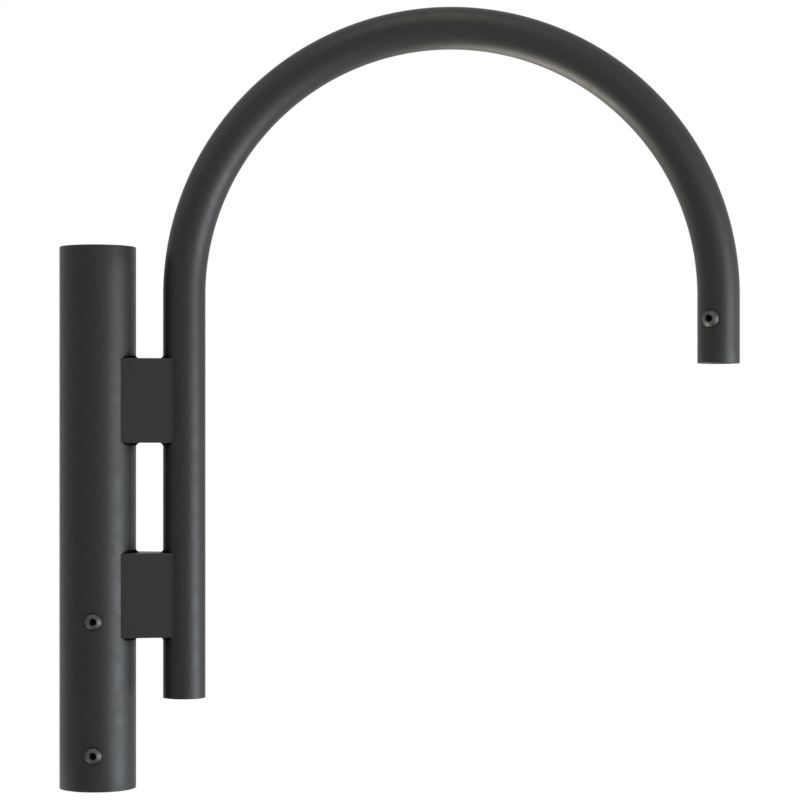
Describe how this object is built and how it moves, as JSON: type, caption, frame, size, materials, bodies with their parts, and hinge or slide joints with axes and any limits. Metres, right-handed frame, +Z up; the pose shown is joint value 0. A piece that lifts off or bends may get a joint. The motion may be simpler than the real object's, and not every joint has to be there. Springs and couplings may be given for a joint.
{
  "type": "lamp bracket",
  "caption": "Slip-over pole sleeve with a swan-neck tube arm welded beside it on saddle blocks; a lamp hangs in the arm's open end.",
  "frame": {"origin": "on the sleeve's axis at its open lower end, where the pole's spigot goes in", "axes": "+Z up along the sleeve and the pole, +X from the sleeve towards the arm and the lamp end, -Y the side that the screws face"},
  "size_m": [0.6797, 0.0805, 0.7801],
  "materials": {
    "powder_coat": "satin near-black powder coat with a fine grain",
    "screw_steel": "dark plated steel",
    "zinc": "zinc plated steel",
    "nylon": "black nylon"
  },
  "bodies": {
    "root": {"sleeve_tube": "powder_coat", "sleeve_liner": "zinc", "spigot_stop": "zinc", "top_cap": "powder_coat", "arm_tube": "powder_coat", "arm_end_cap": "powder_coat", "lamp_bush": "zinc", "upper_block": "powder_coat", "lower_block": "powder_coat", "upper_block_sleeve_welds": "powder_coat", "upper_block_arm_welds": "powder_coat", "lower_block_sleeve_welds": "powder_coat", "lower_block_arm_welds": "powder_coat", "cable_bush": "nylon", "upper_sleeve_screw": "screw_steel", "lower_sleeve_screw": "screw_steel", "lamp_screw": "screw_steel"}
  },
  "joints": []
}
